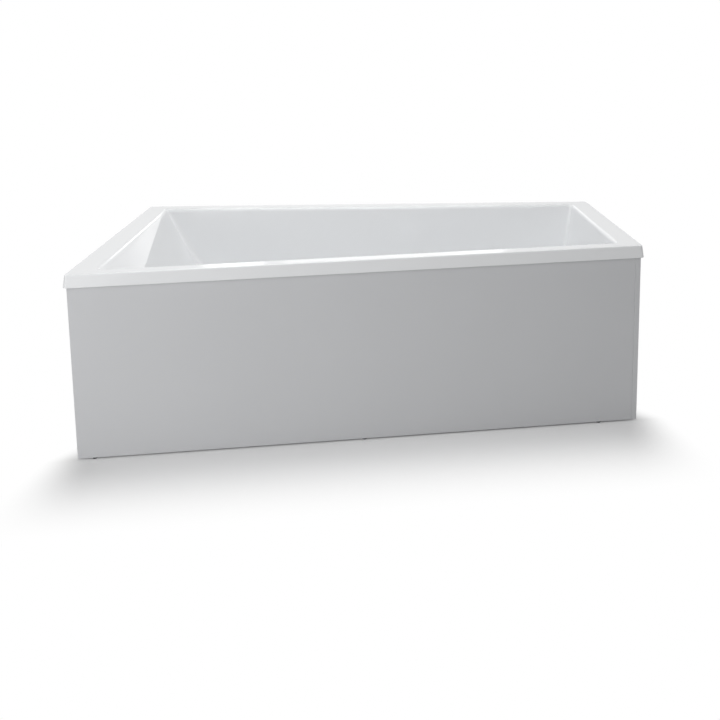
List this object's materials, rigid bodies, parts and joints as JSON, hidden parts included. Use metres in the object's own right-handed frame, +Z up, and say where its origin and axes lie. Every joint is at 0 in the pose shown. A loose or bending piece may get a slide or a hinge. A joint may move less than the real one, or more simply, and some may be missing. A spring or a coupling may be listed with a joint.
{
  "type": "trapezoid bathtub",
  "caption": "Built-in acrylic bath with a trapezoid rim, slanted front panel, end panel, levelling feet and a knob-operated pop-up waste.",
  "frame": {"origin": "on the floor, below the middle of the bath's length and of its greatest depth", "axes": "+X along the back edge from the wide end to the narrow end, +Y towards the back wall, +Z up"},
  "size_m": [1.7, 0.998, 0.56],
  "materials": {
    "sanitary_acrylic": "glossy moulded white",
    "panel_lacquer": "smooth matt light grey",
    "chipboard": "pressed wood chips, sealed with resin",
    "zinc_steel": "zinc plated",
    "anodised_aluminium": "natural anodised",
    "dark_plastic": "dark moulded plastic",
    "black_rubber": "soft black rubber",
    "bright_chrome": "polished",
    "white_pipe_plastic": "white moulded plastic",
    "grey_hose_plastic": "ribbed grey plastic",
    "cable_sheath": "black sheath"
  },
  "bodies": {
    "bath": {"tub_shell": "sanitary_acrylic", "front_panel": "panel_lacquer", "end_panel": "panel_lacquer", "base_board": "chipboard", "rim_batten_front": "chipboard", "rim_batten_right": "chipboard", "rim_batten_back": "chipboard", "rim_batten_left": "chipboard", "leg_rail_left": "zinc_steel", "leg_rail_right": "zinc_steel", "rail_screws": "zinc_steel", "rail_nuts": "zinc_steel", "lock_nuts": "zinc_steel", "panel_brackets_front": "zinc_steel", "panel_brackets_end": "zinc_steel", "bracket_screws": "zinc_steel", "wall_brackets_back": "zinc_steel", "wall_brackets_left": "zinc_steel", "hose_clamps": "zinc_steel", "panel_corner_angle": "anodised_aluminium", "panel_glides": "dark_plastic", "cable_end_fitting": "dark_plastic", "flange_seal": "black_rubber", "waste_seal": "black_rubber", "overflow_gasket": "black_rubber", "trap_inlet_seal": "black_rubber", "trap_outlet_seal": "black_rubber", "waste_flange": "bright_chrome", "overflow_flange": "bright_chrome", "waste_body": "white_pipe_plastic", "overflow_body": "white_pipe_plastic", "trap_inlet_nut": "white_pipe_plastic", "trap_bend": "white_pipe_plastic", "trap_outlet_nut": "white_pipe_plastic", "outlet_pipe": "white_pipe_plastic", "overflow_hose": "grey_hose_plastic", "bowden_cable": "cable_sheath"},
    "control_knob": {"control_knob": "bright_chrome", "knob_spindle": "zinc_steel", "cable_drum": "dark_plastic", "knob_screw": "zinc_steel"},
    "plug": {"plug_cap": "bright_chrome", "plug_seal": "black_rubber", "plug_stem": "bright_chrome"},
    "lifting_rod": {"lift_rod": "zinc_steel"},
    "foot_1": {"foot_rod_1": "zinc_steel", "foot_pad_1": "dark_plastic", "foot_sole_1": "black_rubber"},
    "foot_2": {"foot_rod_2": "zinc_steel", "foot_pad_2": "dark_plastic", "foot_sole_2": "black_rubber"},
    "foot_3": {"foot_rod_3": "zinc_steel", "foot_pad_3": "dark_plastic", "foot_sole_3": "black_rubber"},
    "foot_4": {"foot_rod_4": "zinc_steel", "foot_pad_4": "dark_plastic", "foot_sole_4": "black_rubber"}
  },
  "joints": [
    {"name": "knob_turn", "type": "hinge", "parent": "bath", "child": "control_knob", "pos_m": [0.19, -0.24533, 0.46], "axis": [-0.1716, 0.9724, 0.158], "range_deg": [0, 90]},
    {"name": "plug_slide", "type": "slide", "parent": "bath", "child": "plug", "axis": [0, 0, 1], "range_m": [0, 0.01]},
    {"name": "lifting_rod_slide", "type": "slide", "parent": "bath", "child": "lifting_rod", "axis": [0, 0, 1], "range_m": [0, 0.01]},
    {"name": "foot_1_height", "type": "slide", "parent": "bath", "child": "foot_1", "axis": [0, 0, 1], "range_m": [-0.06, 0.02]},
    {"name": "foot_2_height", "type": "slide", "parent": "bath", "child": "foot_2", "axis": [0, 0, 1], "range_m": [-0.06, 0.02]},
    {"name": "foot_3_height", "type": "slide", "parent": "bath", "child": "foot_3", "axis": [0, 0, 1], "range_m": [-0.06, 0.02]},
    {"name": "foot_4_height", "type": "slide", "parent": "bath", "child": "foot_4", "axis": [0, 0, 1], "range_m": [-0.06, 0.02]}
  ],
  "couplings": [
    {"joint": "plug_slide", "follows": "knob_turn", "m_per_rad": 0.0063662},
    {"joint": "lifting_rod_slide", "follows": "knob_turn", "m_per_rad": 0.0063662}
  ]
}
